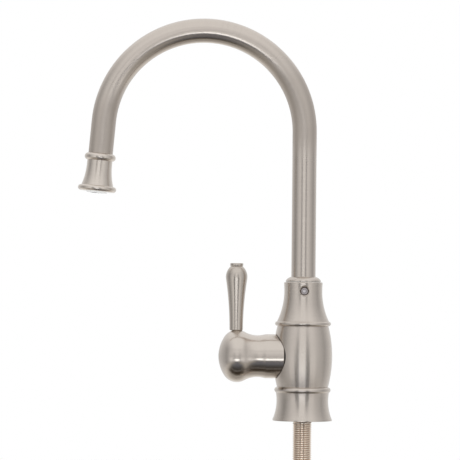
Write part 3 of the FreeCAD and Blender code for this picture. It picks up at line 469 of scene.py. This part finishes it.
def threaded_shank(material):
    """The shank with its thread, its tenon in the body and its waterway, as one closed mesh."""
    points = []
    faces = []
    width = THREAD_SIDES + 1
    rows = threaded_rows()
    for row in rows:
        points.extend(row)
    for level in range(len(rows) - 1):
        for side in range(THREAD_SIDES):
            low = level * width + side
            faces.append((low, low + 1, low + 1 + width, low + width))
    inlet_top = SHANK_LOW.z + INLET_DEPTH
    loops = [
        ring(THREAD_RADIUS, 0.0),
        ring(TENON_RADIUS, 0.0),
        ring(TENON_RADIUS, SHANK_HIGH.z),
        ring(WATERWAY_RADIUS, SHANK_HIGH.z),
        ring(WATERWAY_RADIUS, inlet_top),
        ring(INLET_RADIUS, inlet_top),
        ring(INLET_RADIUS, SHANK_LOW.z),
        ring(THREAD_RADIUS - END_CHAMFER, SHANK_LOW.z),
    ]
    for loop, following in zip(loops, loops[1:]):
        base = len(points)
        points.extend(loop)
        points.extend(following)
        for side in range(THREAD_SIDES):
            after = (side + 1) % THREAD_SIDES
            faces.append((base + side, base + after,
                          base + THREAD_SIDES + after, base + THREAD_SIDES + side))
    shank = mesh_object("threaded_shank", points, faces)
    shank.data.materials.append(material)
    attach(shank, "body")
    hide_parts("shank")


# The studio's room. Directions are an azimuth from the camera's side, positive to the right, and an
# elevation, both in degrees. Three numbers in brackets are a middle, a half width and a fade;
# two are the start and the end of a step.
CAMERA_AZIMUTH = math.degrees(math.atan2(CAMERA_SIDE, CAMERA_DISTANCE))
HALF_TURN = 180.0
# Brightness of the walls by azimuth.
WALLS = [
    (-180, 0.85), (-135, 0.72), (-118, 0.60), (-103, 0.46), (-87, 0.36),
    (-78, 0.42), (-67, 0.56), (-57, 0.67), (-47, 0.75), (-36, 0.80),
    (36, 0.82), (49, 0.75), (58, 0.69), (68, 0.62), (80, 0.55),
    (96, 0.44), (106, 0.53), (120, 0.64), (135, 0.75), (180, 0.85),
]
# A bright panel straight ahead.
PANEL_WIDTH = (0.5, 9.5, 4.0)
PANEL_FOOT = (-10.0, 2.0)
PANEL_LEVEL = 0.93
# A low bright band across the front wall.
BAND_HEIGHT = (-13.0, 4.0, 4.0)
BAND_WIDTH = (0.0, 46.0, 14.0)
BAND_LEVEL = 1.14
# A dark bar on each side of the panel.
BARS_MIDDLE = -0.7
BAR_WIDTH = (19.2, 2.5, 5.0)
BAR_TOP = (20.0, 8.0)
BAR_STRENGTH = 0.75
BAR_LEVEL = 0.22
# Faint level lines on the front wall, by elevation and strength.
EDGES = [(28.0, 0.3), (0.0, 0.2)]
EDGE_HALF = 1.0
EDGE_FADE = 4.0
EDGE_SIDES = (60.0, 30.0)
EDGE_LEVEL = 0.2
# The ceiling darkens to its sides, by the share of the direction that points there.
CEILING_START = (14.0, 42.0)
CEILING_LEVEL = 0.97
CEILING_SIDES = (0.45, 0.85)
CEILING_SIDE_LEVEL = 0.68
# The ground is darkest below the camera's side. Its colours go by the angle from there.
GROUND_START = (-19.0, -27.0)
GROUND_DEPRESSION = math.radians(66)
GROUND_SQUEEZE = (1.1, 1.0, 1.0)
GROUND = [
    (0, (0.16, 0.145, 0.13)), (10, (0.16, 0.145, 0.13)), (33, (0.43, 0.41, 0.375)),
    (50, (0.44, 0.42, 0.39)), (61, (0.64, 0.62, 0.58)), (85, (0.95, 0.94, 0.92)),
]
# A dark runner on the ground, from the object towards the camera.
RUNNER_WIDTH = (0.0, 13.0, 20.0)
RUNNER_FAR = (-18.0, -26.0)
RUNNER_NEAR = (-62.0, -40.0)
RUNNER_COLOUR = (0.16, 0.165, 0.195, 1.0)
# The white backdrop right behind the object, as glancing metal mirrors it.
BACKDROP_SIDES = (168.0, 174.0)
BACKDROP_HEIGHT = (0.0, 6.0, 6.0)


def studio_walls(graph, azimuth, elevation):
    """The walls, with the panel, the band, the dark bars and the faint lines on them."""
    around = graph.math("DIVIDE", graph.math("ADD", azimuth, HALF_TURN), 2 * HALF_TURN)
    stops = [((angle + HALF_TURN) / (2 * HALF_TURN), grey(level)) for angle, level in WALLS]
    walls = graph.ramp(around, stops, "LINEAR")
    panel = graph.product(graph.bump_of(azimuth, *PANEL_WIDTH), graph.step(elevation, *PANEL_FOOT))
    walls = graph.mix(panel, walls, grey(PANEL_LEVEL))
    band = graph.product(graph.bump_of(elevation, *BAND_HEIGHT), graph.bump_of(azimuth, *BAND_WIDTH))
    walls = graph.mix(band, walls, grey(BAND_LEVEL))
    beside = graph.math("ABSOLUTE", graph.math("SUBTRACT", azimuth, BARS_MIDDLE))
    bars = graph.product(graph.bump_of(beside, *BAR_WIDTH), graph.step(elevation, *BAR_TOP), BAR_STRENGTH)
    walls = graph.mix(bars, walls, grey(BAR_LEVEL))
    front = graph.step(graph.math("ABSOLUTE", azimuth), *EDGE_SIDES)
    for height, strength in EDGES:
        edge = graph.product(graph.bump_of(elevation, height, EDGE_HALF, EDGE_FADE), front, strength)
        walls = graph.mix(edge, walls, grey(EDGE_LEVEL))
    return walls


def studio_ground(graph, direction):
    """The ground's colour by the angle from its darkest direction."""
    darkest = (0.0, -math.cos(GROUND_DEPRESSION), -math.sin(GROUND_DEPRESSION))
    squeezed = graph.vector("NORMALIZE", graph.vector("MULTIPLY", direction, GROUND_SQUEEZE))
    angle = graph.math("DEGREES", graph.math("ARCCOSINE", graph.vector("DOT_PRODUCT", squeezed, darkest)))
    stops = [(degrees / HALF_TURN, colour) for degrees, colour in GROUND]
    return graph.ramp(graph.math("DIVIDE", angle, HALF_TURN), stops)


def studio_world():
    """Grey walls, a pale ceiling and a dark ground for the metal to mirror; the camera sees white."""
    world = bpy.data.worlds.new("studio")
    bpy.context.scene.world = world
    graph = Graph(world)
    direction = graph.add("ShaderNodeTexCoord").outputs["Generated"]
    parts = graph.parts(direction)
    heading = graph.math("ARCTAN2", parts["X"], graph.math("SUBTRACT", 0.0, parts["Y"]))
    azimuth = graph.math("SUBTRACT", graph.math("DEGREES", heading), CAMERA_AZIMUTH)
    elevation = graph.math("DEGREES", graph.math("ARCSINE", parts["Z"]))

    walls = studio_walls(graph, azimuth, elevation)
    sideways = graph.step(graph.math("ABSOLUTE", parts["X"]), *CEILING_SIDES)
    ceiling = graph.mix(sideways, grey(CEILING_LEVEL), grey(CEILING_SIDE_LEVEL))
    room = graph.mix(graph.step(elevation, *CEILING_START), walls, ceiling)
    room = graph.mix(graph.step(elevation, *GROUND_START), room, studio_ground(graph, direction))
    runner = graph.product(graph.bump_of(azimuth, *RUNNER_WIDTH),
                           graph.step(elevation, *RUNNER_FAR), graph.step(elevation, *RUNNER_NEAR))
    room = graph.mix(runner, room, RUNNER_COLOUR)

    rays = graph.add("ShaderNodeLightPath").outputs
    behind = graph.product(graph.step(graph.math("ABSOLUTE", azimuth), *BACKDROP_SIDES),
                           graph.bump_of(elevation, *BACKDROP_HEIGHT))
    seen = graph.math("MAXIMUM", rays["Is Camera Ray"], rays["Is Transmission Ray"])
    seen = graph.math("MAXIMUM", seen, graph.product(rays["Is Glossy Ray"], behind))
    lit = graph.add("ShaderNodeBackground", {"Color": room})
    white = graph.add("ShaderNodeBackground", {"Color": grey(1.0)})
    mixed = graph.add("ShaderNodeMixShader", {0: seen, 1: lit.outputs[0], 2: white.outputs[0]})
    graph.add("ShaderNodeOutputWorld", {"Surface": mixed.outputs[0]})


# The studio's light, card, floor and lamp. Fades on a plane are shares of its width or its length.
STRIP_PLACE = Vector((-0.125, -1.26, -0.325))
STRIP_WIDTH = 1.5
STRIP_HEIGHT = 0.37
STRIP_LEVEL = 2.75
STRIP_COLOUR = (0.96, 0.98, 1.0, 1.0)
STRIP_ACROSS = (0.0, 0.12, 0.36)
STRIP_UPRIGHT = (0.0, 0.16, 0.32)
# The dark bars stand before the strip too.
STRIP_GAP = (0.285, 0.04, 0.07)
STRIP_GAP_STRENGTH = 0.5
CARD_PLACE = Vector((-50, -103, -106)) * MM
CARD_WIDTH = 400 * MM
CARD_LENGTH = 243 * MM
CARD_ACROSS = (0.0, 0.30, 0.17)
CARD_ALONG = (0.0, 0.34, 0.16)
# The card's colours from its front edge to its back, and a pale fold across it.
CARD_TONES = [
    (0.16, (0.17, 0.18, 0.21)), (0.31, (0.125, 0.13, 0.145)), (0.50, (0.085, 0.082, 0.08)),
    (0.63, (0.068, 0.058, 0.048)), (0.72, (0.052, 0.04, 0.028)),
]
CARD_FOLD = (0.165, 0.008, 0.014)
CARD_FOLD_LEVEL = 0.34
FLOOR_RADIUS = 0.6
FLOOR_LEVEL = SHANK_LOW.z
FLOOR_SIDES = 96
FLOOR_EDGE = (0.95 * FLOOR_RADIUS, 0.7 * FLOOR_RADIUS)
FLOOR_GRAIN = 220.0
FLOOR_TONES = [(NOISE_LOW, grey(0.90)), (NOISE_HIGH, grey(0.93))]
LAMP_PLACE = Vector((-0.25, -0.35, 1.1))
LAMP_SIZE = 0.9
LAMP_POWER = 3.0


def studio_plane(name, place, width, length):
    bpy.ops.mesh.primitive_plane_add(size=1.0, location=place)
    plane = bpy.context.object
    plane.name = name
    plane.scale = (width, length, 1.0)
    return plane


def see_through(graph, share, shader):
    """A surface that shows the shader by a share and is clear for the rest."""
    clear = graph.add("ShaderNodeBsdfTransparent")
    graph.surface(graph.add("ShaderNodeMixShader", {0: share, 1: clear.outputs[0], 2: shader.outputs[0]}))


def studio_strip():
    """A long low light in front of the object, which the metal mirrors as a bright line."""
    strip = studio_plane("front_strip", STRIP_PLACE, STRIP_WIDTH, STRIP_HEIGHT)
    strip.rotation_euler = (-STRIP_PLACE).to_track_quat("Z", "Y").to_euler()
    material, graph = new_material("strip_light")
    place = graph.parts(graph.object_place())
    wide = graph.bump_of(place["X"], *STRIP_ACROSS)
    high = graph.bump_of(place["Y"], *STRIP_UPRIGHT)
    gaps = graph.bump_of(graph.math("ABSOLUTE", place["X"]), *STRIP_GAP)
    unbarred = graph.math("SUBTRACT", 1.0, graph.product(gaps, STRIP_GAP_STRENGTH))
    graph.surface(graph.add("ShaderNodeEmission", {
        "Color": STRIP_COLOUR, "Strength": graph.product(wide, unbarred, high, STRIP_LEVEL)}))
    strip.data.materials.append(material)
    strip.visible_camera = False


def studio_card():
    """A dark card under the object and in front of it, which only the metal's reflections show."""
    card = studio_plane("dark_card", CARD_PLACE, CARD_WIDTH, CARD_LENGTH)
    material, graph = new_material("card_paper")
    place = graph.parts(graph.object_place())
    share = graph.product(graph.bump_of(place["X"], *CARD_ACROSS), graph.bump_of(place["Y"], *CARD_ALONG))
    shade = graph.ramp(graph.math("ADD", place["Y"], 0.5), CARD_TONES, "LINEAR")
    shade = graph.mix(graph.bump_of(place["Y"], *CARD_FOLD), shade, grey(CARD_FOLD_LEVEL))
    see_through(graph, share, graph.add("ShaderNodeEmission", {"Color": shade}))
    card.data.materials.append(material)
    card.visible_camera = False
    card.visible_diffuse = False
    card.visible_shadow = False
    card.visible_transmission = False


def studio_floor():
    """A pale round floor under the shank's end that fades into the white background."""
    bpy.ops.mesh.primitive_circle_add(vertices=FLOOR_SIDES, radius=FLOOR_RADIUS, fill_type="NGON",
                                      location=(VIEW_CENTRE.x / 2, 0, FLOOR_LEVEL))
    floor = bpy.context.object
    floor.name = "floor"
    material, graph = new_material("floor_paper")
    place = graph.object_place()
    share = graph.step(graph.vector("LENGTH", place), *FLOOR_EDGE)
    shade = graph.ramp(graph.noise(place, FLOOR_GRAIN, detail=4.0), FLOOR_TONES)
    see_through(graph, share, graph.add("ShaderNodeBsdfDiffuse", {"Color": shade}))
    floor.data.materials.append(material)
    floor.visible_glossy = False


def studio_lamp():
    """One broad soft lamp overhead, which the metal doesn't mirror."""
    data = bpy.data.lights.new("overhead_lamp", "AREA")
    data.shape = "DISK"
    data.size = LAMP_SIZE
    data.energy = LAMP_POWER
    lamp = bpy.data.objects.new("overhead_lamp", data)
    lamp.location = LAMP_PLACE
    lamp.rotation_euler = (VIEW_CENTRE - LAMP_PLACE).to_track_quat("-Z", "Y").to_euler()
    lamp.visible_glossy = False
    bpy.context.scene.collection.objects.link(lamp)


def photo_camera():
    data = bpy.data.cameras.new("photo_camera")
    data.sensor_width = SENSOR_WIDTH
    camera = bpy.data.objects.new("photo_camera", data)
    camera.location = (CAMERA_SIDE, -CAMERA_DISTANCE, CAMERA_HEIGHT)
    aim = VIEW_CENTRE - camera.location
    data.lens = SENSOR_WIDTH * aim.length / VIEW_WIDTH
    level = aim.to_track_quat("-Z", "Y").to_matrix().to_4x4()
    camera.rotation_euler = (level @ Matrix.Rotation(CAMERA_ROLL, 4, "Z")).to_euler()
    bpy.context.scene.collection.objects.link(camera)
    bpy.context.scene.camera = camera


materials = {
    "upright": brushed_metal("nickel_upright", UP, roughness=UPRIGHT_ROUGHNESS, stretch=UPRIGHT_STRETCH),
    "lever": brushed_metal("nickel_lever", UP, LEVER_PLACE, LEVER_NICKEL_SHADED),
    "handle": brushed_metal("nickel_handle", OUT, tuple(VALVE_AXIS)),
    "outlet": brushed_metal("nickel_outlet", TAIL, tuple(BELL_MIDDLE), OUTLET_NICKEL_LIT),
    "tube": brushed_metal("nickel_tube", colour=TUBE_NICKEL_SHADED, roughness=TUBE_ROUGHNESS, stretch=TUBE_STRETCH),
    "shank": brushed_metal("shank_plating", UP, colour=SHANK_PLATING, root_shade=THREAD_ROOT_SHADE),
    "brass": soft_finish("turned_brass", (0.74, 0.58, 0.30), roughness=0.28,
                         grain=1800.0, spread=0.08, relief=0.1, metallic=1.0),
    "steel": soft_finish("plain_steel", (0.50, 0.49, 0.48), roughness=0.32,
                         grain=1800.0, spread=0.08, relief=0.1, metallic=1.0),
    "screw": screw_steel("screw_steel_painted_light"),
    "rubber": soft_finish("black_rubber", (0.022, 0.022, 0.024), roughness=0.7,
                          grain=1500.0, spread=0.3, relief=0.3),
    "plastic": soft_finish("white_plastic", (0.86, 0.86, 0.84), roughness=0.38,
                           grain=900.0, spread=0.03, relief=0.05),
    "insert": outlet_plastic("outlet_plastic"),
    "acetal": soft_finish("black_acetal", (0.03, 0.03, 0.032), roughness=0.5,
                          grain=900.0, spread=0.1, relief=0.05),
    "ceramic": soft_finish("lapped_ceramic", (0.88, 0.86, 0.80), roughness=0.16,
                           grain=1200.0, spread=0.03, relief=0.02),
    "fibre": soft_finish("pressed_fibre", (0.32, 0.085, 0.055), roughness=0.75,
                         grain=1600.0, spread=0.25, relief=0.4),
}

PAINTED = {
    "upright": ["base_foot", "valve_body", "top_collar", "spout_spigot"],
    "lever": ["lever"],
    "handle": ["handle_hub"],
    "outlet": ["outlet_bell"],
    "tube": ["spout_tube"],
    "brass": ["cartridge_body", "cartridge_nut", "valve_stem"],
    "steel": ["stem_clip"],
    "screw": ["collar_set_screw"],
    "rubber": ["base_gasket", "spout_o_rings", "outlet_washer",
               "seat_seal", "cartridge_o_ring", "stem_o_rings"],
    "insert": ["outlet_insert"],
    "plastic": ["swivel_washer"],
    "acetal": ["hub_bush"],
    "ceramic": ["fixed_ceramic_disc", "turning_ceramic_disc"],
    "fibre": ["shank_seal"],
}
for finish, names in PAINTED.items():
    for node_name in names:
        paint(node_name, materials[finish])

threaded_shank(materials["shank"])
studio_world()
studio_strip()
studio_card()
studio_floor()
studio_lamp()
photo_camera()
bpy.context.scene.view_settings.view_transform = "Standard"
